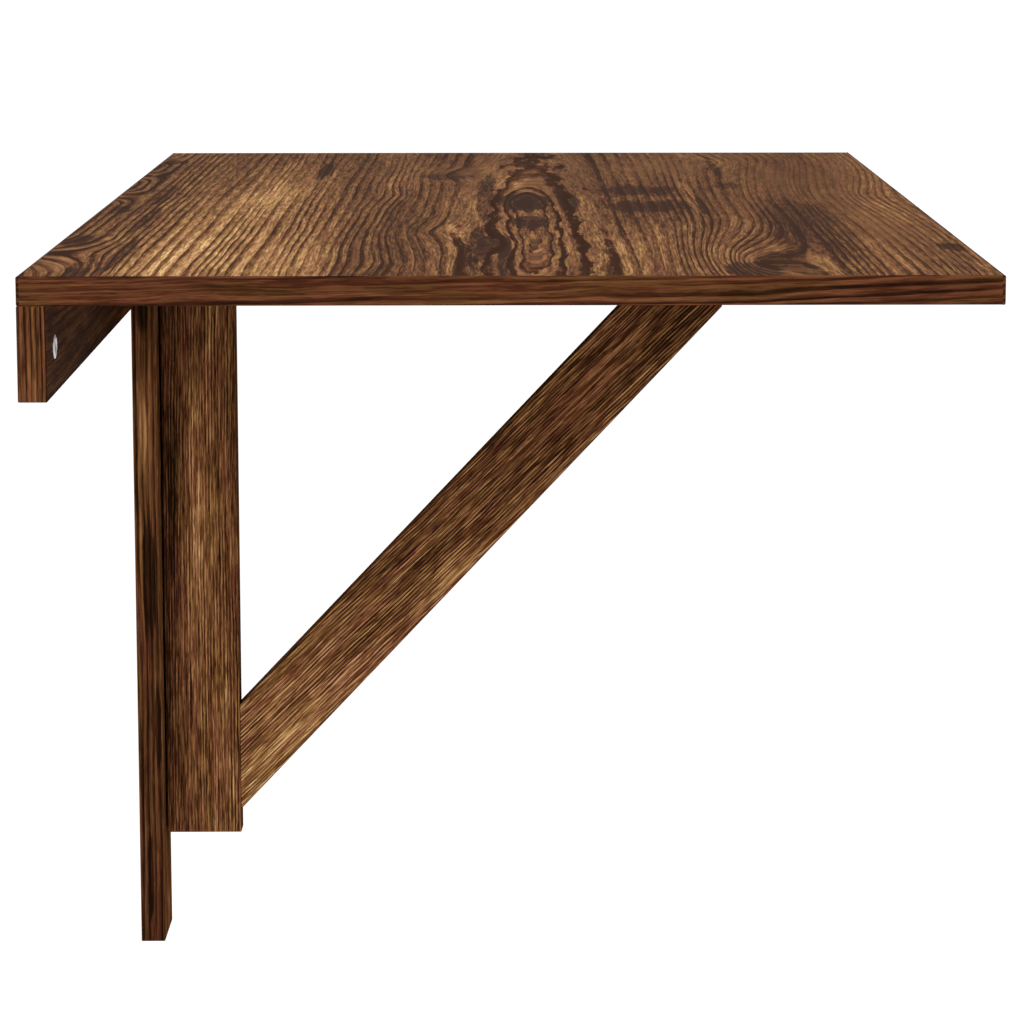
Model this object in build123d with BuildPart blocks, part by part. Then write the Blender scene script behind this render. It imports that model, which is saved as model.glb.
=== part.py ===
from build123d import *
from collections import namedtuple
from math import cos, radians, tan
import os

os.makedirs("parts", exist_ok=True)

# A wall-hung folding table of laminated board.
# X runs along the wall, the room is on the -Y side of the wall plane Y = 0, and Z is up.
# The origin is the middle of the wall rail's back face. All lengths are in millimetres.

# Overall sizes
top_length = 1000.0
top_depth = 600.0
table_height = 560.0
board = 18.0
band = 2.0
band_round = 1.2
edge_round = 0.8

# Wall rail and the holes that the wall screws pass
rail_height = 59.0
wall_hole_radius = 3.0
wall_hole_inset = 38.0
inner_wall_hole = 154.0

# Strips of the post and of the swinging bracket
strip_width = 56.0
wing_gap = 1.5
wing_height = 454.0
arm_height = 50.0
arm_drop = 8.0
brace_angle = 46.6
brace_foot = 18.0

# Butt hinges between the post and the wing
swing_hinge_length = 65.0
swing_hinge_width = 15.0
swing_leaf = 1.5
swing_offset = 3.1
swing_knuckle_radius = 2.8
swing_pin_radius = 1.5
swing_hinge_margin = 55.0

# Cranked hinges between the rail and the tabletop
table_hinge_length = 40.0
table_leaf_width = 42.0
table_leaf = 2.0
table_offset = 3.5
table_knuckle_radius = 3.2
table_pin_radius = 1.75
table_hinge_reach = 60.0
table_flange = 18.0
table_bend = 2.5
outer_hinge_place = 300.0
inner_hinge_place = 110.0

# Knuckles, pins and fits, shared by both kinds of hinge
knuckle_count = 5
knuckle_gap = 0.3
pin_fit = 0.05
pin_head = 1.0
leaf_corner = 2.0
fit = 0.05
overrun = 1.0

# Low dome washers on the wall holes
washer_radius = 7.5
washer_bore = 3.2
washer_sink = 5.4
washer_height = 1.0
washer_rim = 0.4
washer_crown_share = 0.8

# Glide on the arm and stop under the tabletop
glide_length = 60.0
glide_inset = 10.0
glide_clearance = 0.2
glide_round = 2.5
stop_length = 40.0
stop_width = 15.0
stop_drop = 22.0
stop_clearance = 0.3
stop_round = 2.0

# Dowels of the bracket
dowel_radius = 4.0
dowel_length = 30.0
dowel_pitch = 32.0
arm_dowel_pitch = 26.0

# Screws: shank radius, head radius, head height, length
Screw = namedtuple("Screw", "shank head sink length")
leaf_screw = Screw(1.6, 3.1, 1.4, 15.0)
table_screw = Screw(2.0, 3.8, 1.8, 15.0)
post_screw = Screw(2.2, 4.4, 2.6, 30.0)
glide_screw = Screw(1.6, 3.1, 1.4, 20.0)
stop_screw = Screw(1.8, 3.4, 1.6, 34.0)
post_screw_x = 16.0
post_screw_z = 14.0
recess_radius = 1.0
recess_depth = 0.9
end_screw_shares = (1 / 4, 3 / 4)
leaf_screw_shares = (1 / 6, 1 / 2, 5 / 6)

# Heights
rail_top = rail_height / 2
rail_bottom = -rail_height / 2
top_surface = rail_top + board
post_bottom = top_surface - table_height
arm_top = rail_top - arm_drop
arm_bottom = arm_top - arm_height
wing_bottom = arm_top - wing_height

# Places along X and depths from the wall
half_length = top_length / 2
outer_wall_hole = half_length - wall_hole_inset
post_front = 2 * board
wing_inner = post_front + wing_gap
wing_outer = wing_inner + strip_width

# The brace's foot on the wing, its head under the arm, and the arm's tip in line with its lower edge
brace_slope = tan(radians(brace_angle))
brace_foot_low = wing_bottom + brace_foot
brace_foot_high = brace_foot_low + strip_width / cos(radians(brace_angle))
brace_head_near = wing_outer + (arm_bottom - brace_foot_high) / brace_slope
brace_head_far = wing_outer + (arm_bottom - brace_foot_low) / brace_slope
arm_tip = wing_outer + (arm_top - brace_foot_low) / brace_slope
glide_far = arm_tip - glide_inset
glide_near = glide_far - glide_length

# Pin axes of the hinges
swing_axis_x = board / 2 + swing_offset
swing_axis_y = -post_front - swing_offset
table_axis_z = rail_top - table_offset
swing_hinge_bases = {
    "upper": arm_top - swing_hinge_margin - swing_hinge_length,
    "lower": wing_bottom + swing_hinge_margin,
}
table_hinge_places = [-outer_hinge_place, -inner_hinge_place, inner_hinge_place, outer_hinge_place]


def save(built, name):
    """Labels a finished piece and writes it."""
    built.part.label = name
    export_step(built.part, f"parts/{name}.step")


def at(x, y, z, facing):
    """A plane at a point, with its normal along facing."""
    return Plane(origin=(x, y, z), z_dir=facing)


def drill(seats, screw):
    """Cuts the countersunk hole of a screw at each seat, a little wider than the screw."""
    with Locations(*seats):
        Cylinder(
            screw.shank + fit,
            screw.length + fit,
            align=(Align.CENTER, Align.CENTER, Align.MAX),
            mode=Mode.SUBTRACT,
        )
        Cone(
            screw.shank + fit,
            screw.head + fit,
            screw.sink + fit,
            align=(Align.CENTER, Align.CENTER, Align.MAX),
            mode=Mode.SUBTRACT,
        )


def screws(name, seats, screw):
    """One node of like screws. A seat is the middle of a head, and its plane faces out of the wood."""
    with BuildPart() as group:
        with Locations(*seats):
            Cylinder(screw.shank, screw.length, align=(Align.CENTER, Align.CENTER, Align.MAX))
            Cone(
                screw.shank,
                screw.head,
                screw.sink,
                align=(Align.CENTER, Align.CENTER, Align.MAX),
            )
            Cylinder(
                recess_radius,
                recess_depth,
                align=(Align.CENTER, Align.CENTER, Align.MAX),
                mode=Mode.SUBTRACT,
            )
    save(group, name)


def panel(plane, corners):
    """A board cut to an outline, with all its edges eased, in the current part."""
    with BuildSketch(plane) as outline:
        with BuildLine():
            Polyline(*corners, close=True)
        make_face()
    extrude(outline.sketch, amount=board)
    fillet(edges(), edge_round)


def knuckle_spans(length, odd):
    """Start and length of each knuckle that one leaf holds."""
    pitch = (length + knuckle_gap) / knuckle_count
    return [(n * pitch, pitch - knuckle_gap) for n in range(knuckle_count) if (n % 2 == 0) == odd]


def roll_knuckles(plane, length, odd, radius, pin_radius, offset):
    """Turns the pin edge of a leaf blank into its knuckles, in the current part."""
    notch = radius + knuckle_gap
    for start, span in knuckle_spans(length, not odd):
        with BuildSketch(plane.offset(start - knuckle_gap)) as gap:
            Rectangle(2 * notch, 2 * (offset + overrun))
        extrude(gap.sketch, amount=span + 2 * knuckle_gap, mode=Mode.SUBTRACT)
    for start, span in knuckle_spans(length, odd):
        with BuildSketch(plane.offset(start)) as knuckle:
            Circle(radius)
        extrude(knuckle.sketch, amount=span)
    with BuildSketch(plane.offset(-overrun)) as bore:
        Circle(pin_radius + pin_fit)
    extrude(bore.sketch, amount=length + 2 * overrun, mode=Mode.SUBTRACT)


def round_leaf_end(plane):
    """Rounds the two corners of a leaf that lie furthest from its pin, in the current part."""
    corners = edges().filter_by(Axis(plane.origin, plane.y_dir))
    fillet(corners.sort_by(Axis(plane.origin, plane.x_dir))[-2:], leaf_corner)


def pin(name, plane, length, radius, knuckle):
    """A hinge pin with a flat head at each end."""
    with BuildPart() as made:
        with BuildSketch(plane.offset(-pin_head)):
            Circle(knuckle - knuckle_gap)
        extrude(amount=pin_head - pin_fit)
        with BuildSketch(plane.offset(-pin_head)):
            Circle(radius)
        extrude(amount=length + 2 * pin_head)
        with BuildSketch(plane.offset(length + pin_fit)):
            Circle(knuckle - knuckle_gap)
        extrude(amount=pin_head - pin_fit)
    save(made, name)


# Seats of every screw, made from the sizes above and used by the boards, the leaves and the screws
wall_hole_places = [-outer_wall_hole, -inner_wall_hole, inner_wall_hole, outer_wall_hole]
post_screw_seats = [
    at(x, 0, z, (0, 1, 0)) for x in (-post_screw_x, post_screw_x) for z in (-post_screw_z, post_screw_z)
]
table_screw_step = table_hinge_length / 4
table_screw_reach = table_leaf_width / 2
rail_screw_z = rail_top - table_flange / 2 - table_leaf / 2
rail_leaf_seats = [
    at(x + side * table_screw_step, -board - table_leaf, rail_screw_z, (0, -1, 0))
    for x in table_hinge_places
    for side in (-1, 1)
]
table_leaf_seats = [
    at(
        x + side * table_screw_step,
        -table_hinge_reach - table_screw_reach - side * table_screw_step,
        rail_top - table_leaf,
        (0, 0, -1),
    )
    for x in table_hinge_places
    for side in (-1, 1)
]
swing_screw_reach = (swing_hinge_width + swing_knuckle_radius) / 2
swing_screw_heights = [
    base + swing_hinge_length * share for base in swing_hinge_bases.values() for share in leaf_screw_shares
]
post_leaf_seats = [
    at(swing_axis_x + swing_screw_reach, -post_front - swing_leaf, z, (0, -1, 0)) for z in swing_screw_heights
]
wing_leaf_seats = [
    at(board / 2 + swing_leaf, swing_axis_y - swing_screw_reach, z, (1, 0, 0)) for z in swing_screw_heights
]
glide_seats = [
    at(0, -glide_near - glide_length * share, rail_top - glide_clearance - glide_screw.sink, (0, 0, 1))
    for share in end_screw_shares
]
stop_near = glide_near + glide_length / 2 - stop_length / 2
stop_middle = -board / 2 - stop_clearance - stop_width / 2
stop_seats = [
    at(stop_middle, -stop_near - stop_length * share, rail_top - stop_drop, (0, 0, -1))
    for share in end_screw_shares
]
arm_dowel_seats = [
    at(0, -wing_outer - dowel_length / 2, (arm_top + arm_bottom) / 2 + side * arm_dowel_pitch / 2, (0, -1, 0))
    for side in (-1, 1)
]
brace_foot_middle = (brace_foot_low + brace_foot_high) / 2
foot_dowel_seats = [
    at(0, -wing_outer - dowel_length / 2, brace_foot_middle + side * dowel_pitch / 2, (0, -1, 0))
    for side in (-1, 1)
]
brace_head_middle = (brace_head_near + brace_head_far) / 2
head_dowel_seats = [
    at(0, -brace_head_middle + side * dowel_pitch / 2, arm_bottom + dowel_length / 2, (0, 0, 1))
    for side in (-1, 1)
]


def dowel_holes(seats):
    """Bores for dowels in the current part."""
    with Locations(*seats):
        Cylinder(
            dowel_radius + fit,
            dowel_length,
            align=(Align.CENTER, Align.CENTER, Align.MAX),
            mode=Mode.SUBTRACT,
        )


# Wall rail: the board that is screwed to the wall and carries the tabletop's wall edge
with BuildPart() as wall_rail:
    panel(
        Plane.XZ,
        [
            (-half_length, rail_bottom),
            (half_length, rail_bottom),
            (half_length, rail_top),
            (-half_length, rail_top),
        ],
    )
    with BuildSketch(Plane.XZ.offset(-overrun)):
        with Locations(*[(x, 0) for x in wall_hole_places]):
            Circle(wall_hole_radius)
    extrude(amount=board + 2 * overrun, mode=Mode.SUBTRACT)
    drill(post_screw_seats, post_screw)
    drill(rail_leaf_seats, table_screw)
save(wall_rail, "wall_rail")

# Post: the upright strip on the front of the rail, which carries the bracket's hinges
with BuildPart() as post:
    panel(
        Plane.XZ.offset(board),
        [
            (-strip_width / 2, post_bottom),
            (strip_width / 2, post_bottom),
            (strip_width / 2, rail_top),
            (-strip_width / 2, rail_top),
        ],
    )
    drill(post_screw_seats, post_screw)
    drill(post_leaf_seats, leaf_screw)
save(post, "post")

# Tabletop: a core board with a band glued on each edge
with BuildPart() as tabletop_core:
    with BuildSketch(Plane.XY.offset(rail_top)):
        with Locations((0, -top_depth / 2)):
            Rectangle(top_length - 2 * band, top_depth - 2 * band)
    extrude(amount=board)
    drill(table_leaf_seats, table_screw)
    drill(stop_seats, stop_screw)
save(tabletop_core, "tabletop_core")

for name, middle, outer in (
    ("top_front_band", band / 2 - top_depth, 0),
    ("top_wall_band", -band / 2, -1),
):
    with BuildPart() as long_band:
        with BuildSketch(Plane.XY.offset(rail_top)):
            with Locations((0, middle)):
                Rectangle(top_length, band)
        extrude(amount=board)
        fillet(long_band.faces().filter_by(Axis.Y).sort_by(Axis.Y)[outer].edges(), band_round)
    save(long_band, name)

for name, middle, outer in (
    ("top_left_band", band / 2 - half_length, 0),
    ("top_right_band", half_length - band / 2, -1),
):
    with BuildPart() as end_band:
        with BuildSketch(Plane.XY.offset(rail_top)):
            with Locations((middle, -top_depth / 2)):
                Rectangle(band, top_depth - 2 * band)
        extrude(amount=board)
        outer_face = end_band.faces().filter_by(Axis.X).sort_by(Axis.X)[outer]
        fillet(outer_face.edges().filter_by(Axis.Y), band_round)
    save(end_band, name)

# Wing: the bracket's upright, hinged to the post along its inner edge
with BuildPart() as wing:
    panel(
        Plane.YZ.offset(-board / 2),
        [
            (-wing_inner, wing_bottom),
            (-wing_inner, arm_top),
            (-wing_outer, arm_top),
            (-wing_outer, wing_bottom),
        ],
    )
    drill(wing_leaf_seats, leaf_screw)
    dowel_holes(arm_dowel_seats + foot_dowel_seats)
save(wing, "wing")

# Arm: the bracket's upper strip, with its tip cut in line with the brace's lower edge
with BuildPart() as arm:
    panel(
        Plane.YZ.offset(-board / 2),
        [
            (-wing_outer, arm_top),
            (-arm_tip, arm_top),
            (-brace_head_far, arm_bottom),
            (-wing_outer, arm_bottom),
        ],
    )
    drill(glide_seats, glide_screw)
    dowel_holes(arm_dowel_seats + head_dowel_seats)
save(arm, "arm")

# Brace: the slanted strip, cut upright at its foot and level at its head
with BuildPart() as brace:
    panel(
        Plane.YZ.offset(-board / 2),
        [
            (-wing_outer, brace_foot_low),
            (-wing_outer, brace_foot_high),
            (-brace_head_near, arm_bottom),
            (-brace_head_far, arm_bottom),
        ],
    )
    dowel_holes(foot_dowel_seats + head_dowel_seats)
save(brace, "brace")

# Dowels that join the bracket's three strips
with BuildPart() as bracket_dowels:
    with Locations(*arm_dowel_seats, *foot_dowel_seats, *head_dowel_seats):
        Cylinder(dowel_radius, dowel_length, align=(Align.CENTER, Align.CENTER, Align.MAX))
save(bracket_dowels, "bracket_dowels")

# Glide: the bearing strip on the arm that the tabletop rests on
with BuildPart() as glide:
    with BuildSketch(Plane.XY.offset(arm_top)):
        with Locations((0, -(glide_near + glide_far) / 2)):
            RectangleRounded(board - 2 * edge_round, glide_length, glide_round)
    extrude(amount=arm_drop - glide_clearance)
    fillet(glide.faces().sort_by(Axis.Z)[-1].edges(), edge_round)
    with Locations(*glide_seats):
        Cylinder(
            glide_screw.head + fit,
            glide_screw.sink + overrun,
            align=(Align.CENTER, Align.CENTER, Align.MIN),
            mode=Mode.SUBTRACT,
        )
    drill(glide_seats, glide_screw)
save(glide, "glide")

# Stop: the block under the tabletop that the open bracket swings against
with BuildPart() as stop_block:
    with BuildSketch(Plane.XY.offset(rail_top - stop_drop)):
        with Locations((stop_middle, -stop_near - stop_length / 2)):
            RectangleRounded(stop_width, stop_length, stop_round)
    extrude(amount=stop_drop)
    chamfer(stop_block.faces().sort_by(Axis.Z)[0].edges(), edge_round)
    drill(stop_seats, stop_screw)
save(stop_block, "stop_block")

# Low dome washers on the four wall holes
with BuildPart() as wall_washers:
    for x in wall_hole_places:
        with BuildSketch(Plane.YZ.offset(x)):
            with BuildLine():
                Polyline(
                    (-board, washer_bore),
                    (-board, washer_radius),
                    (-board - washer_rim, washer_radius),
                )
                ThreePointArc(
                    (-board - washer_rim, washer_radius),
                    (-board - washer_height * washer_crown_share, (washer_radius + washer_sink) / 2),
                    (-board - washer_height, washer_sink),
                )
                Polyline(
                    (-board - washer_height, washer_sink),
                    (-board - washer_rim, washer_bore),
                    (-board, washer_bore),
                )
            make_face()
        revolve(axis=Axis((x, 0, 0), (0, 1, 0)))
save(wall_washers, "wall_washers")

# Swing hinges: the post leaf holds the outer knuckles, the wing leaf the inner ones
for place, base in swing_hinge_bases.items():
    post_plane = Plane(origin=(swing_axis_x, swing_axis_y, base), x_dir=(1, 0, 0), z_dir=(0, 0, 1))
    wing_plane = Plane(
        origin=(swing_axis_x, swing_axis_y, base + swing_hinge_length), x_dir=(0, -1, 0), z_dir=(0, 0, -1)
    )
    for side, plane, odd, seats in (
        ("post", post_plane, True, post_leaf_seats),
        ("wing", wing_plane, False, wing_leaf_seats),
    ):
        with BuildPart() as leaf:
            with BuildSketch(plane):
                with Locations((0, swing_offset - swing_leaf)):
                    Rectangle(swing_hinge_width, swing_leaf, align=(Align.MIN, Align.MIN))
            extrude(amount=swing_hinge_length)
            round_leaf_end(plane)
            roll_knuckles(
                plane,
                swing_hinge_length,
                odd,
                swing_knuckle_radius,
                swing_pin_radius,
                swing_offset,
            )
            drill(seats, leaf_screw)
        save(leaf, f"swing_hinge_{place}_{side}_leaf")
    pin(
        f"swing_hinge_{place}_pin",
        post_plane,
        swing_hinge_length,
        swing_pin_radius,
        swing_knuckle_radius,
    )

# Table hinges: the rail leaf is cranked out under the tabletop, past the folded bracket
web_length = table_hinge_reach - board
for number, x in enumerate(table_hinge_places, start=1):
    rail_plane = Plane(
        origin=(x - table_hinge_length / 2, -table_hinge_reach, table_axis_z),
        x_dir=(0, 1, 0),
        z_dir=(1, 0, 0),
    )
    table_plane = Plane(
        origin=(x + table_hinge_length / 2, -table_hinge_reach, table_axis_z),
        x_dir=(0, -1, 0),
        z_dir=(-1, 0, 0),
    )
    with BuildPart() as rail_leaf:
        with BuildSketch(rail_plane):
            with BuildLine():
                Polyline(
                    (0, table_offset),
                    (web_length, table_offset),
                    (web_length, table_offset - table_flange),
                    (web_length - table_leaf, table_offset - table_flange),
                    (web_length - table_leaf, table_offset - table_leaf),
                    (0, table_offset - table_leaf),
                    close=True,
                )
            make_face()
            inner_corner = (web_length - table_leaf, table_offset - table_leaf, 0)
            outer_corner = (web_length, table_offset, 0)
            fillet(vertices().sort_by_distance(inner_corner)[0], table_bend)
            fillet(vertices().sort_by_distance(outer_corner)[0], table_bend + table_leaf)
        extrude(amount=table_hinge_length)
        flange_end = rail_leaf.faces().sort_by(Axis.Z)[0]
        fillet(flange_end.edges().filter_by(Axis.Y), leaf_corner)
        roll_knuckles(
            rail_plane,
            table_hinge_length,
            True,
            table_knuckle_radius,
            table_pin_radius,
            table_offset,
        )
        drill(rail_leaf_seats, table_screw)
    save(rail_leaf, f"table_hinge_{number}_rail_leaf")
    with BuildPart() as table_leaf_part:
        with BuildSketch(table_plane):
            with Locations((0, table_offset - table_leaf)):
                Rectangle(table_leaf_width, table_leaf, align=(Align.MIN, Align.MIN))
        extrude(amount=table_hinge_length)
        round_leaf_end(table_plane)
        roll_knuckles(
            table_plane,
            table_hinge_length,
            False,
            table_knuckle_radius,
            table_pin_radius,
            table_offset,
        )
        drill(table_leaf_seats, table_screw)
    save(table_leaf_part, f"table_hinge_{number}_table_leaf")
    pin(f"table_hinge_{number}_pin", rail_plane, table_hinge_length, table_pin_radius, table_knuckle_radius)

# Screws, one node for each kind of place
screws("post_screws", post_screw_seats, post_screw)
screws("rail_leaf_screws", rail_leaf_seats, table_screw)
screws("table_leaf_screws", table_leaf_seats, table_screw)
screws("post_leaf_screws", post_leaf_seats, leaf_screw)
screws("wing_leaf_screws", wing_leaf_seats, leaf_screw)
screws("glide_screws", glide_seats, glide_screw)
screws("stop_screws", stop_seats, stop_screw)
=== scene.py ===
"""Looks of a wall-hung folding table of dark wood-grain board, seen along the wall from one end."""

import math
from collections import namedtuple

import bmesh
import bpy
from mathutils import Matrix, Vector


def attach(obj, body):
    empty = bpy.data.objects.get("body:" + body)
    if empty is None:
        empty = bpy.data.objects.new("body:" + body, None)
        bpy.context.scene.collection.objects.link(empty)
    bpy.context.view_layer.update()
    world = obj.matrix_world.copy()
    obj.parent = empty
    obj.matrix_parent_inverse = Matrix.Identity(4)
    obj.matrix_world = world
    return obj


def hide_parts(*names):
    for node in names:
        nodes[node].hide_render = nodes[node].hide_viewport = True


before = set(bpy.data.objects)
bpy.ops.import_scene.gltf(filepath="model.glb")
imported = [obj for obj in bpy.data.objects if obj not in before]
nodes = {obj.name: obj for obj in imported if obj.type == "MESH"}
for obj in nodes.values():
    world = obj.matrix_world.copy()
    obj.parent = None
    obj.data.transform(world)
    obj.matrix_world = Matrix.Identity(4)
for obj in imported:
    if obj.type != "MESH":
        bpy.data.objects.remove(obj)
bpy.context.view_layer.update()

MM_PER_M = 1000
X, Y, Z = Vector((1, 0, 0)), Vector((0, 1, 0)), Vector((0, 0, 1))


def tint(r, g, b):
    """A display colour of 0 to 255 as the linear colour that a shader takes."""
    shares = [c / 255 for c in (r, g, b)]
    return [c / 12.92 if c < 0.04045 else ((c + 0.055) / 1.055) ** 2.4 for c in shares] + [1.0]


# ---------------------------------------------------------------- materials

BUMP_STRENGTH = 0.5
MIX_FACTOR, MIX_A, MIX_B, MIX_COLOUR = 0, 6, 7, 2  # a Mix node's sockets for colours
PATCH_DEPTH = 400  # mm through the board, so that a patch is the same all through it


class Graph:
    """Builds one material's nodes, a short call for each."""

    def __init__(self, name):
        self.material = bpy.data.materials.new(name)
        self.material.use_nodes = True
        self.tree = self.material.node_tree
        self.shader = self.tree.nodes["Principled BSDF"]
        self.place = self.node("ShaderNodeTexCoord").outputs["Object"]

    def feed(self, socket, value):
        if isinstance(value, bpy.types.NodeSocket):
            self.tree.links.new(value, socket)
        else:
            socket.default_value = value

    def surface(self, **inputs):
        """Feeds the shader's inputs, which are named with _ for a space."""
        for name, value in inputs.items():
            self.feed(self.shader.inputs[name.replace("_", " ")], value)

    def node(self, kind, values=None, **settings):
        made = self.tree.nodes.new(kind)
        for key, value in settings.items():
            setattr(made, key, value)
        for key, value in (values or {}).items():
            self.feed(made.inputs[key], value)
        return made

    def math(self, operation, *values):
        return self.node("ShaderNodeMath", dict(enumerate(values)), operation=operation).outputs[0]

    def centred(self, share):
        """A share from 0 to 1 as one from -0.5 to 0.5."""
        return self.math("SUBTRACT", share, 0.5)

    def vector(self, operation, *values):
        made = self.node("ShaderNodeVectorMath", dict(enumerate(values)), operation=operation)
        return made.outputs["Value" if operation == "DOT_PRODUCT" else "Vector"]

    def place_in_mm(self, seed):
        """The place in mm, moved so that each seed meets other noise."""
        offset = (seed * 37.0, seed * 53.0, seed * 19.0)
        return self.vector("MULTIPLY_ADD", self.place, (MM_PER_M, MM_PER_M, MM_PER_M), offset)

    def noise(self, place, size, detail=3.0, roughness=0.55):
        """Noise from 0 to 1 whose features are size long, in the units of place."""
        made = self.node(
            "ShaderNodeTexNoise",
            {
                "Vector": self.vector("DIVIDE", place, size),
                "Scale": 1.0, "Detail": detail, "Roughness": roughness,
            },
        )
        return made.outputs["Fac"]

    def ramp(self, value, low, high, to_low=0.0, to_high=1.0):
        """A smooth step of value from low to high."""
        made = self.node(
            "ShaderNodeMapRange",
            {"Value": value, "From Min": low, "From Max": high, "To Min": to_low, "To Max": to_high},
            interpolation_type="SMOOTHSTEP",
            clamp=False,
        )
        return made.outputs["Result"]

    def mound(self, place, middle, reach):
        """1 at a point, falling smoothly to 0 at reach."""
        # Not vector arithmetic: the renderer holds all its results at once, and has room for few
        moved = self.node(
            "ShaderNodeMapping",
            {"Vector": place, "Location": middle, "Scale": reach},
            vector_type="TEXTURE",
        )
        made = self.node(
            "ShaderNodeTexGradient",
            {"Vector": moved.outputs["Vector"]},
            gradient_type="QUADRATIC_SPHERE",
        )
        return made.outputs["Fac"]

    def patched(self, value, place, patches, sign=1):
        """value, changed by each patch's amount: (along, across, reach along, reach across, amount)."""
        for u, v, reach_u, reach_v, amount in patches:
            mound = self.mound(place, (u, v, 0), (reach_u, reach_v, PATCH_DEPTH))
            value = self.math("MULTIPLY_ADD", mound, sign * amount, value)
        return value

    def colours(self, value, stops):
        made = self.node("ShaderNodeValToRGB", {"Fac": value})
        band = made.color_ramp
        while len(band.elements) < len(stops):
            band.elements.new(0.5)
        for element, (position, colour) in zip(band.elements, stops):
            element.position = position
            element.color = colour
        return made.outputs["Color"]

    def bump(self, height, distance):
        """Relief that is distance metres high where height is 1."""
        made = self.node(
            "ShaderNodeBump",
            {"Height": height, "Distance": distance, "Strength": BUMP_STRENGTH},
        )
        self.surface(Normal=made.outputs["Normal"])


# The print's colours, from its darkest tone to its lightest
OAK = [
    (0.00, tint(20, 9, 2)),
    (0.20, tint(49, 27, 11)),
    (0.40, tint(84, 53, 28)),
    (0.58, tint(117, 80, 45)),
    (0.78, tint(158, 118, 70)),
    (1.00, tint(214, 176, 122)),
]
RUSSET = [
    (0.00, tint(24, 9, 5)),
    (0.25, tint(64, 32, 18)),
    (0.55, tint(112, 69, 43)),
    (1.00, tint(194, 144, 102)),
]

# Sizes of the print's features in mm: along the grain, across it and through the board. A heart's wave
# has its share of the wander with it
HEART_WAVES = (((520, 170, 300), 1.0), ((110, 32, 90), 0.26), ((30, 9, 30), 0.07))
HEART_SWELL = (430, 900, 900)
RING_SPACING = (1200, 45, 900)
RING_WEIGHT = (260, 20, 200)
RING_TEAR = (60, 12, 40)
STREAK = (150, 3.4, 60)
FIBRE = (46, 1.1, 20)
DASH = (24, 1.6, 8)
PORE = (10, 0.8, 4)
BLOTCH = (260, 60, 160)
MOTTLE = (60, 14, 40)
FLAME_TEAR = (110, 5, 60)
REDNESS = (90, 7, 60)

# Noise seldom strays more than a quarter from its middle, so the heart's waves and swell take it 4 times
HEART_GAIN = 4
SPACING_GAIN = 5  # how far the rings' spacing strays, in rings

# The shares of a ring's turn over which it darkens, and then over which it ends
RING_RISE, RING_FALL = (0.35, 0.86), (1.0, 0.92)
RING_WEIGHTS = (0.35, 1.35)
# Distances from the heart in mm, each pair from none to full: its wide ragged rings, and the band of bold
# rings round it from outside and from inside
WIDE_ZONE, BOLD_OUTSIDE, BOLD_INSIDE = (74, 10), (62, 38), (14, 24)
WIDE_TEAR = 1.5  # how far the wide rings are torn, in rings
BOLDNESS, INNERMOST = 1.3, 0.2

# Noise from which a feature begins to show, and where it is full
WEIGHT_STEP, DASH_STEP, PORE_STEP, REDNESS_STEP = (0.34, 0.66), (0.42, 0.58), (0.56, 0.66), (0.36, 0.70)

# How much each feature moves the tone, which runs from 0 to 1
FIBRE_SHARE, DASH_SHARE, PORE_SHARE = 0.75, 0.19, 0.11
BLOTCH_SHARE, MOTTLE_SHARE = 0.55, 0.22
MIDDLE_TONE = 0.47
DARK_FIBRE, DARK_SOFTNESS = 0.3, 0.12  # the darkest tone's fibres, and its soft limit

# A flame is a mound with ragged edges: its reach against the patch's, since it ends where the mound is
# still above 0, how ragged it is, where it begins and is full, and where the mound's own edge ends
FLAME_REACH, FLAME_RAGGED, FLAME_STEP, FLAME_EDGE = 1.6, 1.1, (0.08, 0.24), (0.0, 0.06)

BOARD_ROUGHNESS, LATE_DULLS, FIBRE_DULLS = 0.52, 0.06, 0.16
BOARD_RELIEF = 0.00006  # m, as deep as a pore
FIBRE_HEIGHT, LATE_DEPTH = 0.6, 0.35  # as shares of it

# The log's middle, in mm: its place across the grain, its depth, the swell in that depth, and how the
# depth grows along the grain from the place where it is least
Heart = namedtuple("Heart", "across depth swell slope least", defaults=(0, 0))


def scaled(size, along=1.0, across=1.0):
    return size[0] * along, size[1] * across, size[2]


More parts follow.
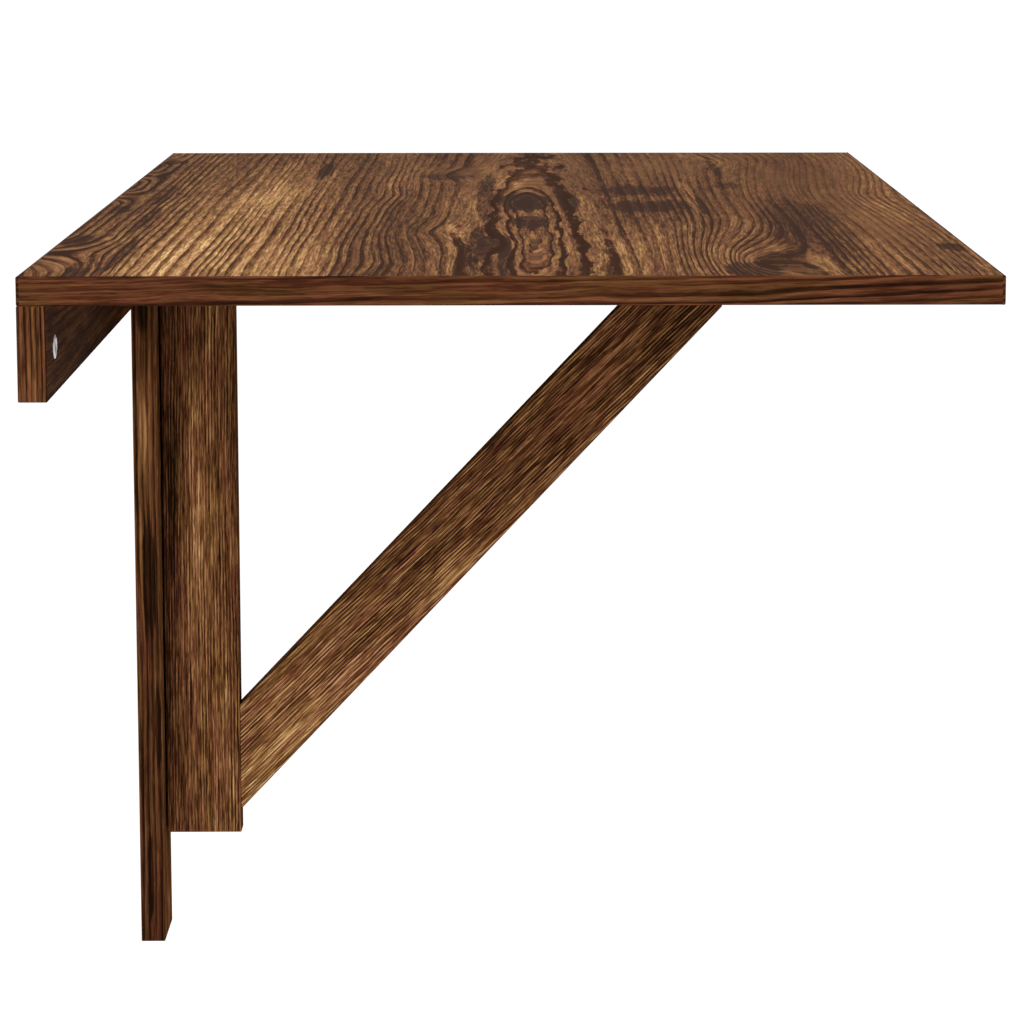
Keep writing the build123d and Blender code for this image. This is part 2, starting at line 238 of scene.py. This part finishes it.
def laminate(name, along, across, seed, tone=0.0, rings=5.0, heart=Heart(-90, 30, 12), wander=8.0,
             length=1.0, ring_depth=0.16, fleck=1.0, streak=0.62, fine=1.0, short=1.0, red=0.4, gloss=0.015,
             heart_gap=0.0, darkest=0.0, figures=(), bold=(), tones=(), flames=(), calm=()):
    """Printed smoked-oak laminate. along and across are the grain's directions in the row frame.

    The rings are lines of equal distance from the heart, rings mm apart. wander is how far the heart
    strays, and length stretches all slow features. ring_depth, fleck and streak are how strongly the
    rings, the fibres and the streaks show, fine and short make these narrower and shorter, and red is
    the share of russet. heart_gap sets the rings apart round the heart, and darkest is the darkest tone.
    figures bend the rings, bold deepens them, tones lighten and darken softly, which on the wing and the
    brace also paints shade, flames are ragged streaks and calm quietens the grain: each is (along, across,
    reach along, reach across, amount). All in mm.
    """
    g = Graph(name)
    through = along.cross(across)
    axes = enumerate((along, across, through))
    local = g.node(
        "ShaderNodeCombineXYZ",
        {i: g.vector("DOT_PRODUCT", g.place, axis * MM_PER_M) for i, axis in axes},
    ).outputs["Vector"]
    place = g.vector("ADD", local, (seed * 137.0, seed * 71.0, seed * 31.0))
    spots = g.node("ShaderNodeSeparateXYZ", {"Vector": local}).outputs

    # The log's middle wanders sideways, and rises and falls
    side = g.math("SUBTRACT", spots["Y"], heart.across)
    for size, share in HEART_WAVES:
        swing = g.centred(g.noise(place, scaled(size, length), 2.0))
        side = g.math("MULTIPLY_ADD", swing, share * wander * HEART_GAIN, side)
    depth = g.math("MULTIPLY_ADD", g.math("SUBTRACT", spots["X"], heart.least), heart.slope, heart.depth)
    swell = g.centred(g.noise(place, scaled(HEART_SWELL, length), 1.0))
    depth = g.math("MULTIPLY_ADD", swell, heart.swell * HEART_GAIN, depth)
    field = g.math("SQRT", g.math("MULTIPLY_ADD", side, side, g.math("MULTIPLY", depth, depth)))
    field = g.patched(field, local, figures)
    sides = g.node("ShaderNodeSeparateXYZ", {"Vector": place}).outputs
    grain = g.node("ShaderNodeCombineXYZ", {0: sides["X"], 1: field, 2: sides["Z"]}).outputs["Vector"]

    # Rings: each grows dark slowly and ends at once
    spacing = g.noise(grain, scaled(RING_SPACING, length), 1.0)
    turn = g.math("DIVIDE", g.math("MULTIPLY_ADD", spacing, rings * SPACING_GAIN, field), rings)
    if heart_gap:
        # Round the heart the rings lie wider apart and are ragged
        middle = g.ramp(field, *WIDE_ZONE)
        turn = g.math("MULTIPLY_ADD", middle, heart_gap / rings, turn)
        tear = g.centred(g.noise(place, RING_TEAR, 3.0, 0.6))
        turn = g.math("MULTIPLY_ADD", g.math("MULTIPLY", tear, middle), WIDE_TEAR, turn)
    phase = g.math("FRACT", turn)
    late = g.math("MULTIPLY", g.ramp(phase, *RING_RISE), g.ramp(phase, *RING_FALL))
    weight = g.ramp(g.noise(grain, scaled(RING_WEIGHT, length), 3.0), *WEIGHT_STEP, *RING_WEIGHTS)
    weight = g.patched(weight, local, bold)
    near = g.math("MULTIPLY", g.ramp(field, *BOLD_OUTSIDE), g.ramp(field, *BOLD_INSIDE, INNERMOST, 1.0))
    weight = g.math("MULTIPLY", weight, g.math("MULTIPLY_ADD", near, BOLDNESS, 1.0))
    late = g.math("MULTIPLY", late, weight)

    # Streaks, fibres, dashes and pores follow the rings
    streaks = g.noise(grain, scaled(STREAK, length, fine), 3.0, 0.62)
    fibre = g.noise(grain, scaled(FIBRE, short, fine), 3.0, 0.7)
    dashes = g.ramp(g.noise(grain, scaled(DASH, short, fine), 2.0, 0.6), *DASH_STEP)
    pores = g.ramp(g.noise(grain, scaled(PORE, short), 2.0, 0.6), *PORE_STEP)
    blotch = g.noise(place, scaled(BLOTCH, length), 4.0, 0.6)
    mottle = g.noise(place, MOTTLE, 3.0, 0.6)
    quiet = g.patched(1.0, local, calm, sign=-1)

    # The tone of the print
    value = 0.0
    for part, amount in (
        (g.centred(streaks), streak),
        (g.centred(fibre), FIBRE_SHARE * fleck),
        (g.centred(dashes), DASH_SHARE * fleck),
        (pores, -PORE_SHARE * fleck),
        (late, -ring_depth),
    ):
        value = g.math("MULTIPLY_ADD", part, amount, value)
    value = g.math("MULTIPLY_ADD", value, quiet, MIDDLE_TONE + tone)
    value = g.math("MULTIPLY_ADD", g.centred(blotch), BLOTCH_SHARE, value)
    value = g.math("MULTIPLY_ADD", g.centred(mottle), MOTTLE_SHARE, value)
    value = g.patched(value, local, tones)
    if flames:
        ragged = g.centred(g.noise(grain, FLAME_TEAR, 5.0, 0.72))
    for u, v, reach_u, reach_v, amount in flames:
        spot = g.mound(local, (u, v, 0), (reach_u * FLAME_REACH, reach_v * FLAME_REACH, PATCH_DEPTH))
        tongue = g.ramp(g.math("MULTIPLY_ADD", ragged, FLAME_RAGGED, spot), *FLAME_STEP)
        tongue = g.math("MULTIPLY", tongue, g.ramp(spot, *FLAME_EDGE))
        value = g.math("MULTIPLY_ADD", tongue, amount, value)
    # No darker than darkest, where the fibres still show
    lowest = g.math("MULTIPLY_ADD", fibre, DARK_FIBRE * fleck, darkest - DARK_FIBRE / 2 * fleck)
    value = g.math("SMOOTH_MAX", value, lowest, DARK_SOFTNESS)

    warm = g.ramp(g.noise(grain, REDNESS, 3.0, 0.6), *REDNESS_STEP, 0.0, red * 2)
    mixed = g.node("ShaderNodeMix", data_type="RGBA", clamp_factor=True)
    g.feed(mixed.inputs[MIX_FACTOR], warm)
    g.feed(mixed.inputs[MIX_A], g.colours(value, OAK))
    g.feed(mixed.inputs[MIX_B], g.colours(value, RUSSET))
    dull = g.math("MULTIPLY_ADD", fibre, FIBRE_DULLS, BOARD_ROUGHNESS)
    dull = g.math("MULTIPLY_ADD", late, LATE_DULLS, dull)
    g.surface(Base_Color=mixed.outputs[MIX_COLOUR], Roughness=dull, Specular_IOR_Level=gloss)
    sunk = g.math("MULTIPLY_ADD", late, LATE_DEPTH, pores)
    relief = g.math("SUBTRACT", g.math("MULTIPLY", fibre, FIBRE_HEIGHT), sunk)
    g.bump(relief, BOARD_RELIEF)
    return g.material


def plated(name, colour, rough, seed, brush=(30, 0.8, 30)):
    """Zinc-plated or satin steel: faint brushing, a mottled lustre and small dull specks. Sizes in mm."""
    g = Graph(name)
    place = g.place_in_mm(seed)
    lines = g.noise(place, brush, 4.0, 0.6)
    cloud = g.noise(place, (9, 9, 9), 3.0, 0.6)
    specks = g.ramp(g.noise(place, (1.3, 1.3, 1.3), 2.0), 0.66, 0.74)
    value = g.math("MULTIPLY_ADD", g.centred(lines), 0.5, cloud)
    dark = [c * 0.72 for c in colour[:3]] + [1.0]
    dull = g.math("MULTIPLY_ADD", cloud, 0.18, rough - 0.09)
    g.surface(
        Base_Color=g.colours(value, [(0.25, dark), (0.75, colour)]),
        Metallic=1.0,
        Roughness=g.math("MULTIPLY_ADD", specks, 0.15, dull),
    )
    g.bump(g.math("MULTIPLY_ADD", specks, -0.5, lines), 0.00003)
    return g.material


def moulded(name, colour, rough, seed):
    """Moulded plastic with a fine spark-eroded grain. Sizes in mm."""
    g = Graph(name)
    place = g.place_in_mm(seed)
    grain = g.noise(place, (0.5, 0.5, 0.5), 3.0, 0.6)
    cloud = g.noise(place, (14, 14, 14), 3.0)
    value = g.math("MULTIPLY_ADD", g.centred(grain), 0.4, cloud)
    light = [min(1.0, c * 1.5 + 0.004) for c in colour[:3]] + [1.0]
    g.surface(
        Base_Color=g.colours(value, [(0.3, colour), (0.8, light)]),
        Roughness=g.math("MULTIPLY_ADD", cloud, 0.15, rough - 0.07),
    )
    g.bump(grain, 0.00008)
    return g.material


def beech(name, seed):
    """Plain beech with short dark flecks, its grain along Y as most of the dowels lie. Sizes in mm."""
    g = Graph(name)
    place = g.place_in_mm(seed)
    fibre = g.noise(place, (1.2, 22, 1.2), 4.0, 0.6)
    flecks = g.ramp(g.noise(place, (0.5, 3.5, 0.5), 2.0), 0.62, 0.72)
    value = g.math("MULTIPLY_ADD", flecks, -0.3, fibre)
    stops = [(0.15, tint(150, 112, 74)), (0.5, tint(199, 160, 114)), (0.85, tint(219, 186, 142))]
    g.surface(Base_Color=g.colours(value, stops), Roughness=0.6)
    g.bump(fibre, 0.00008)
    return g.material


# ---------------------------------------------------------------- the boards

OPPOSITE = 0.9  # how well a skin fits a face that looks the opposite way, against 1 for its own way


def dress(name, *skins):
    """Gives each face of a board the skin whose direction is nearest to its normal or to its opposite."""
    mesh = nodes[name].data
    mesh.materials.clear()
    for _, skin in skins:
        mesh.materials.append(skin)
    for face in mesh.polygons:
        toward = [face.normal.dot(normal) for normal, _ in skins]
        nearness = [max(share, OPPOSITE * abs(share)) for share in toward]
        face.material_index = nearness.index(max(nearness))


# The tabletop, across from the wall: arcs and dark spots at the wall edge, straight golden rings, a ragged
# heart along the middle, dark smudges, an arch at the near end (-X) and a calm room side
top_face = laminate(
    "top_face", X, -Y, seed=3, tone=0.025, rings=6.6, heart=Heart(316, 15, 5, 0.05, 60), wander=5,
    length=2.4, ring_depth=0.26, streak=0.46, red=0.35, gloss=0.006, heart_gap=40.0, darkest=0.17,
    bold=[
        (-330, 10, 420, 60, 1.2), (330, 10, 460, 60, 1.3), (-400, 452, 260, 60, 0.9),
        (-300, 120, 500, 120, 0.9),
    ],
    figures=[
        # The arch and the bend of the far room side
        (-420, 452, 330, 70, 52), (430, 520, 460, 150, -34),
        # Arcs at the wall edge
        (-365, -6, 150, 64, -46), (60, -4, 80, 34, -30), (250, -6, 80, 34, -28), (410, -4, 70, 30, -24),
        # Smaller bends
        (60, 570, 400, 80, 22), (390, 474, 120, 30, -12), (13, 306, 170, 30, -16),
        (-300, 296, 160, 30, 14), (-225, 245, 150, 60, -13), (255, 255, 100, 46, -18),
        (60, 215, 160, 60, 8), (-420, 215, 140, 60, 8),
    ],
    tones=[
        # The golden rings
        (-330, 100, 640, 130, 0.38), (-440, 165, 300, 60, 0.16), (60, 115, 420, 80, 0.19),
        (330, 120, 330, 90, 0.07),
        # Darker beside the heart and on the room side
        (-100, 225, 520, 40, -0.14), (0, 400, 420, 80, -0.18), (-215, 502, 400, 52, -0.22),
        # Single places, lighter and darker
        (-40, 578, 300, 36, 0.10), (300, 600, 500, 160, 0.06), (220, 304, 220, 40, 0.14),
        (-380, 310, 300, 50, 0.14), (20, 318, 300, 60, 0.10), (-330, 385, 260, 40, 0.12),
        (470, 330, 130, 90, -0.12), (-440, 16, 70, 34, 0.12), (390, 474, 130, 24, 0.10),
        (40, 285, 300, 24, 0.08), (40, 352, 300, 20, 0.08), (-420, 452, 300, 34, 0.12),
        (440, 200, 260, 60, -0.06), (200, 520, 760, 190, -0.07),
    ],
    flames=[
        # Blots and outlines of the heart
        (13, 309, 90, 19, -0.34), (-306, 290, 76, 11, -0.32), (-152, 313, 60, 12, -0.32),
        (10, 343, 120, 8, -0.32),
        # The smudges beside it, with a light gap between them
        (-35, 398, 46, 32, -0.20), (106, 394, 40, 32, -0.17), (-466, 448, 44, 20, -0.26),
        (-190, 505, 220, 26, -0.10), (36, 400, 26, 28, 0.10),
        # Spots among the golden rings and at the wall edge
        (300, 147, 90, 5, -0.32), (242, 246, 34, 20, -0.17), (-280, 10, 34, 10, -0.32),
        (-60, 14, 30, 8, -0.26), (390, 12, 26, 10, -0.30),
        # Streaks, dark and light
        (-30, 441, 90, 3.5, -0.28), (180, 306, 90, 8, 0.08), (-210, 262, 60, 6, 0.16),
        (-330, 588, 26, 8, -0.26), (60, 436, 150, 4, 0.18), (-470, 34, 70, 8, -0.28),
        (-360, 50, 120, 5, -0.24), (-120, 42, 110, 5, -0.22), (70, 36, 90, 5, -0.22),
        (60, 281, 200, 7, -0.28), (-330, 277, 160, 6, -0.28), (-420, 297, 100, 6, -0.26),
        (330, 470, 130, 4, -0.16), (150, 470, 30, 12, -0.16),
    ],
    calm=[
        (-452, 14, 62, 32, 0.75), (300, 300, 420, 260, 0.5), (260, 540, 640, 170, 0.95),
        (330, 420, 240, 70, 0.6), (-60, 470, 330, 60, 0.4), (60, 330, 300, 40, 0.3),
        (-220, 560, 380, 70, 0.7),
    ],
)
underside = laminate(
    "top_underside", X, Y, seed=22, tone=-0.02, rings=8.0, heart=Heart(-180, 15, 8, 0.04, -150),
    length=2.4, red=0.35, heart_gap=20.0,
)
dress("tabletop_core", (Z, top_face), (-Z, underside), (X, top_face))

# The end bands' print runs down a little towards the wall
BAND_SLANT = 0.018
BAND_PRINT = {
    "tone": -0.158, "rings": 3.8, "heart": Heart(110, 20, 10), "wander": 11, "length": 2.0,
    "ring_depth": 0.24, "fleck": 0.48, "streak": 0.46, "red": 1.0,
}
end_band = laminate(
    "end_band_face",
    Vector((0, -1, BAND_SLANT)).normalized(),
    Vector((0, BAND_SLANT, 1)).normalized(),
    seed=5,
    tones=[(210, 40, 170, 16, -0.08), (390, 34, 110, 12, 0.08), (560, 40, 90, 18, -0.08)],
    flames=[
        (40, 46, 60, 3, -0.2), (120, 31, 90, 2, -0.22), (280, 38, 40, 4, -0.2), (470, 44, 60, 3, -0.16),
    ],
    **BAND_PRINT,
)
long_band = laminate("long_band_face", X, Z, seed=6, **BAND_PRINT)
for name in ("top_left_band", "top_right_band"):
    dress(name, (X, end_band))
for name in ("top_front_band", "top_wall_band"):
    dress(name, (Y, long_band))

# The rail's front faces the room under the tabletop. Its print is much darker, duller and less red than the
# other boards': painted shade of the tabletop above it
rail_face_with_painted_shade = laminate(
    "rail_face_with_painted_shade", X, Z, seed=8, tone=-0.235, rings=7, ring_depth=0.05, fleck=0.3, red=0.15, gloss=0.005,
)
rail_edge = laminate("rail_edge", X, Y, seed=9, rings=4, gloss=0.0)
rail_end = laminate(
    "rail_end", Z, Y, seed=10, tone=-0.075, rings=3.4, heart=Heart(-60, 2, 2), wander=2.4,
    ring_depth=0.11, fleck=0.8, red=0.7,
    flames=[(4, -9, 24, 2, -0.3), (14, -4, 20, 1.5, -0.25), (-12, -13, 20, 1.2, -0.2)],
)
dress("wall_rail", (Y, rail_face_with_painted_shade), (Z, rail_edge), (X, rail_end))

post_face = laminate("post_face", Z, X, seed=11, rings=6, heart=Heart(8, 20, 12, 0.04, -200), gloss=0.0)
# The post's narrow side, which faces the near end: pale below the rail, with dark knots down its middle
post_edge = laminate(
    "post_edge", Z, -Y, seed=12, tone=-0.13, rings=4.5, heart=Heart(-30, 6, 4), wander=4, length=1.4,
    ring_depth=0.20, fleck=0.55, red=0.6,
    tones=[(-118, 27, 90, 12, 0.34), (-20, 26, 70, 16, -0.16), (-440, 24, 120, 16, 0.06)],
    flames=[
        (-15, 27, 34, 5, -0.20), (-226, 28, 50, 4.5, -0.27), (-345, 33, 30, 2.4, -0.2),
        (-460, 26, 40, 2.6, -0.24), (-120, 26, 46, 2.4, 0.12), (-300, 21, 60, 1.4, 0.14),
    ],
)
post_end = laminate("post_end", X, Y, seed=13, rings=4)
dress("post", (Y, post_face), (X, post_edge), (Z, post_end))

# The wing's broad side: fine straight dashes, pale middles and a darker outer edge. Painted shade also
# darkens it along its edge by the post and at its top under the tabletop
wing_face_with_painted_shade = laminate(
    "wing_face_with_painted_shade", Z, -Y, seed=14, tone=0.02, rings=2.3, heart=Heart(-60, 20, 6), wander=1.4,
    ring_depth=0.22, fleck=1.3, streak=0.85, fine=0.66, short=0.75, red=0.6,
    tones=[
        (-200, 40, 700, 22, -0.20), (-190, 62, 220, 16, 0.28), (0, 92, 90, 14, -0.2),
        (10, 48, 110, 30, -0.16), (-190, 72, 420, 22, 0.08), (-200, 95, 500, 10, -0.20),
    ],
    flames=[(-336, 57, 26, 1.6, -0.24), (-180, 44, 60, 3, -0.14), (-380, 50, 50, 2.5, -0.14)],
)
wing_edge = laminate("wing_edge", Z, X, seed=15, tone=-0.10, rings=4, gloss=0.0)
wing_end = laminate("wing_end", Y, X, seed=16, rings=4)
dress("wing", (X, wing_face_with_painted_shade), (Y, wing_edge), (Z, wing_end))

arm_face = laminate("arm_face", Y, Z, seed=17, tone=-0.05, rings=4)
arm_edge = laminate("arm_edge", Y, X, seed=18, tone=-0.10, rings=4, gloss=0.0)
arm_end = laminate("arm_end", Z, X, seed=19, tone=-0.05, rings=4)
dress("arm", (X, arm_face), (Z, arm_edge), (Y, arm_end))

# The brace leans out and up. Its grain leans a little less, so that the lines run out at its edges
BRACE_LEAN, BRACE_GRAIN_LEAN = math.radians(46.6), math.radians(43.5)
brace_way = Vector((0, -math.cos(BRACE_LEAN), math.sin(BRACE_LEAN)))
brace_across = X.cross(brace_way)
brace_grain = Vector((0, -math.cos(BRACE_GRAIN_LEAN), math.sin(BRACE_GRAIN_LEAN)))
# Two of its tones are painted shade: lighter towards its foot and darker at its upper end, where the
# tabletop shades it
brace_face_with_painted_shade = laminate(
    "brace_face_with_painted_shade", brace_grain, X.cross(brace_grain), seed=20, tone=0.04, rings=2.2,
    heart=Heart(-500, 20, 4), wander=2.6, ring_depth=0.34, fleck=1.55, fine=0.66, short=0.8, red=0.5,
    tones=[(-160, 371, 230, 130, 0.27), (350, 300, 240, 130, -0.17), (20, 345, 120, 60, 0.09)],
)
brace_edge = laminate("brace_edge", brace_way, X, seed=21, tone=-0.16, rings=4, gloss=0.0)
dress("brace", (X, brace_face_with_painted_shade), (brace_across, brace_edge))

# ---------------------------------------------------------------- fittings

hinge_steel = plated("hinge_zinc", (0.60, 0.60, 0.585, 1), rough=0.34, seed=1)
screw_steel = plated("screw_zinc", (0.66, 0.655, 0.62, 1), rough=0.30, seed=2, brush=(4, 4, 4))
washer_steel = plated("washer_satin", (0.80, 0.80, 0.80, 1), rough=0.50, seed=3, brush=(2, 2, 2))
plastic = moulded("dark_plastic", (0.012, 0.010, 0.009, 1), rough=0.45, seed=4)
dowel_wood = beech("dowel_beech", seed=5)
for name, node in nodes.items():
    if name in ("glide", "stop_block"):
        skin = plastic
    elif name == "wall_washers":
        skin = washer_steel
    elif name == "bracket_dowels":
        skin = dowel_wood
    elif "screws" in name:
        skin = screw_steel
    elif "hinge" in name:
        skin = hinge_steel
    else:
        continue
    node.data.materials.clear()
    node.data.materials.append(skin)
    for face in node.data.polygons:
        face.material_index = 0

# Cross-recessed countersunk screws, each where its plain one is: its body, the way its head faces, its
# shank's radius and its head's height in mm
SCREWS = {
    "rail_leaf_screws": ("wall_frame", -Y, 2.0, 1.8),
    "table_leaf_screws": ("wall_frame", -Z, 2.0, 1.8),
    "post_leaf_screws": ("wall_frame", -Y, 1.6, 1.4),
    "wing_leaf_screws": ("bracket", X, 1.6, 1.4),
    "glide_screws": ("bracket", Z, 1.6, 1.4),
    "stop_screws": ("wall_frame", -Z, 1.8, 1.6),
    "post_screws": ("wall_frame", Y, 2.2, 2.6),
}
RIM = 0.2  # the bevel round the head, in mm
SIDES = 32  # of a turned form
TIP = 0.3  # radius of the shank's end, as a share of the shank's
# The cross recess at the head's face and at its bottom, as shares of the head's radius
MOUTH_REACH, MOUTH_HALF = 0.60, 0.15
BOTTOM_REACH, BOTTOM_HALF, BOTTOM_DEPTH = 0.30, 0.09, 0.42
# Each screw has stopped at another turn
FIRST_TURN, NEXT_TURN = 0.3, 0.7


def islands(mesh):
    """The separate bodies of a mesh, as lists of points."""
    whole = bmesh.new()
    whole.from_mesh(mesh)
    bmesh.ops.remove_doubles(whole, verts=whole.verts, dist=1e-6)
    seen = set()
    for start in whole.verts:
        if start in seen:
            continue
        seen.add(start)
        body = [start]
        for vertex in body:
            for edge in vertex.link_edges:
                other = edge.other_vert(vertex)
                if other not in seen:
                    seen.add(other)
                    body.append(other)
        yield [vertex.co.copy() for vertex in body]
    whole.free()


def turned(made, place, radius, height):
    """A ring of points round the screw's axis, with sizes in mm."""
    radius, height = radius / MM_PER_M, height / MM_PER_M
    turns = [2 * math.pi * n / SIDES for n in range(SIDES)]
    points = [Vector((radius * math.cos(turn), radius * math.sin(turn), height)) for turn in turns]
    return [made.verts.new(place @ point) for point in points]


def cross(made, place, reach, half, height):
    """The outline of a cross whose arms end at reach and are 2 x half wide, with sizes in mm."""
    reach, half, height = reach / MM_PER_M, half / MM_PER_M, height / MM_PER_M
    corner = [(reach, -half), (reach, half), (half, half)]
    ring = []
    for quarter in range(4):
        turn = Matrix.Rotation(quarter * math.pi / 2, 4, "Z")
        ring += [made.verts.new(place @ (turn @ Vector((x, y, height)))) for x, y in corner]
    return ring


def around(made, upper, lower):
    """The faces between two rings of the same number of points."""
    count = len(upper)
    return [
        made.faces.new((upper[n], lower[n], lower[(n + 1) % count], upper[(n + 1) % count]))
        for n in range(count)
    ]


def add_screw(made, place, head, shank, sink, length):
    """One screw, with its head's face at height 0 and its shank pointing down. Radii and sizes in mm."""
    steps = [
        (head - RIM, 0.0), (head, -RIM), (shank, -sink), (shank, shank - length), (TIP * shank, -length),
    ]
    rings = [turned(made, place, radius, height) for radius, height in steps]
    for upper, lower in zip(rings, rings[1:]):
        for face in around(made, upper, lower):
            face.smooth = True
    made.faces.new(rings[-1][::-1])
    mouth = cross(made, place, MOUTH_REACH * head, MOUTH_HALF * head, 0.0)
    bottom = cross(made, place, BOTTOM_REACH * head, BOTTOM_HALF * head, -BOTTOM_DEPTH * head)
    around(made, mouth, bottom)
    made.faces.new(bottom)
    rims = [made.edges.get((ring[n - 1], ring[n])) for ring in (rings[0], mouth) for n in range(len(ring))]
    bmesh.ops.triangle_fill(made, edges=rims, use_beauty=True, normal=place.to_3x3() @ Z)


for name, (body, facing, shank, sink) in SCREWS.items():
    made = bmesh.new()
    turn = facing.to_track_quat("Z", "Y").to_matrix().to_4x4()
    for number, points in enumerate(islands(nodes[name].data)):
        low = Vector([min(point[i] for point in points) for i in range(3)])
        high = Vector([max(point[i] for point in points) for i in range(3)])
        heights = [point.dot(facing) for point in points]
        middle = (low + high) / 2
        seat = middle + facing * (max(heights) - middle.dot(facing))
        wide = max((high - low)[i] for i in range(3) if abs(facing[i]) < 0.5)
        length = max(heights) - min(heights)
        stop = Matrix.Rotation(NEXT_TURN * number + FIRST_TURN, 4, "Z")
        place = Matrix.Translation(seat) @ turn @ stop
        add_screw(made, place, wide / 2 * MM_PER_M, shank, sink, length * MM_PER_M)
    bmesh.ops.recalc_face_normals(made, faces=made.faces)
    mesh = bpy.data.meshes.new(name + "_crossed")
    made.to_mesh(mesh)
    made.free()
    piece = bpy.data.objects.new(name + "_crossed", mesh)
    bpy.context.scene.collection.objects.link(piece)
    mesh.materials.append(screw_steel)
    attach(piece, body)
    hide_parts(name)

# ---------------------------------------------------------------- floor, light and camera

FLOOR_HALF_SIZE, FLOOR_HEIGHT = 150.0, -1.9

mesh = bpy.data.meshes.new("floor")
ends = (-FLOOR_HALF_SIZE, FLOOR_HALF_SIZE)
mesh.from_pydata([(x, y, FLOOR_HEIGHT) for x in ends for y in ends], [], [(0, 2, 3, 1)])
floor = bpy.data.objects.new("floor", mesh)
bpy.context.scene.collection.objects.link(floor)
pale = Graph("pale_floor")
pale.surface(
    Base_Color=(0.9, 0.9, 0.9, 1), Roughness=1.0, Specular_IOR_Level=0.0,
    Emission_Color=(1, 1, 1, 1), Emission_Strength=0.16,
)
mesh.materials.append(pale.material)

world = bpy.data.worlds.new("studio")
bpy.context.scene.world = world
world.use_nodes = True
sky = world.node_tree.nodes["Background"].inputs
sky["Color"].default_value = (1, 1, 1, 1)
sky["Strength"].default_value = 1.0


def softbox(name, spot, aim, size, power):
    """A square light of size metres and power watts."""
    light = bpy.data.lights.new(name, "AREA")
    light.shape = "SQUARE"
    light.size = size
    light.energy = power
    box = bpy.data.objects.new(name, light)
    bpy.context.scene.collection.objects.link(box)
    box.location = spot
    box.rotation_mode = "QUATERNION"
    box.rotation_quaternion = (Vector(aim) - Vector(spot)).to_track_quat("-Z", "Y")


softbox("key", spot=(-1.6, -1.6, 2.4), aim=(0, -0.3, 0), size=1.6, power=45)
softbox("near_fill", spot=(-3.2, 0.4, 0.6), aim=(0, -0.3, -0.2), size=1.4, power=24)

# The camera stands before the table's -X end and looks along the wall, a little down and to the room
CAMERA_PLACE = (-2.6092, -0.29957, 0.27986)
PITCH, YAW = 0.14198, 0.01323
SENSOR, LENS = 36, 123.2  # mm
SHIFT_X, SHIFT_Y = -0.04395, -0.12

camera = bpy.data.cameras.new("camera")
camera.sensor_width = SENSOR
camera.lens = LENS
camera.shift_x = SHIFT_X
camera.shift_y = SHIFT_Y
eye = bpy.data.objects.new("camera", camera)
bpy.context.scene.collection.objects.link(eye)
bpy.context.scene.camera = eye
eye.location = CAMERA_PLACE
look = Vector((math.cos(PITCH) * math.cos(YAW), -math.cos(PITCH) * math.sin(YAW), -math.sin(PITCH)))
eye.rotation_mode = "QUATERNION"
eye.rotation_quaternion = look.to_track_quat("-Z", "Y")

scene = bpy.context.scene
scene.view_settings.view_transform = "Standard"
scene.view_settings.look = "None"
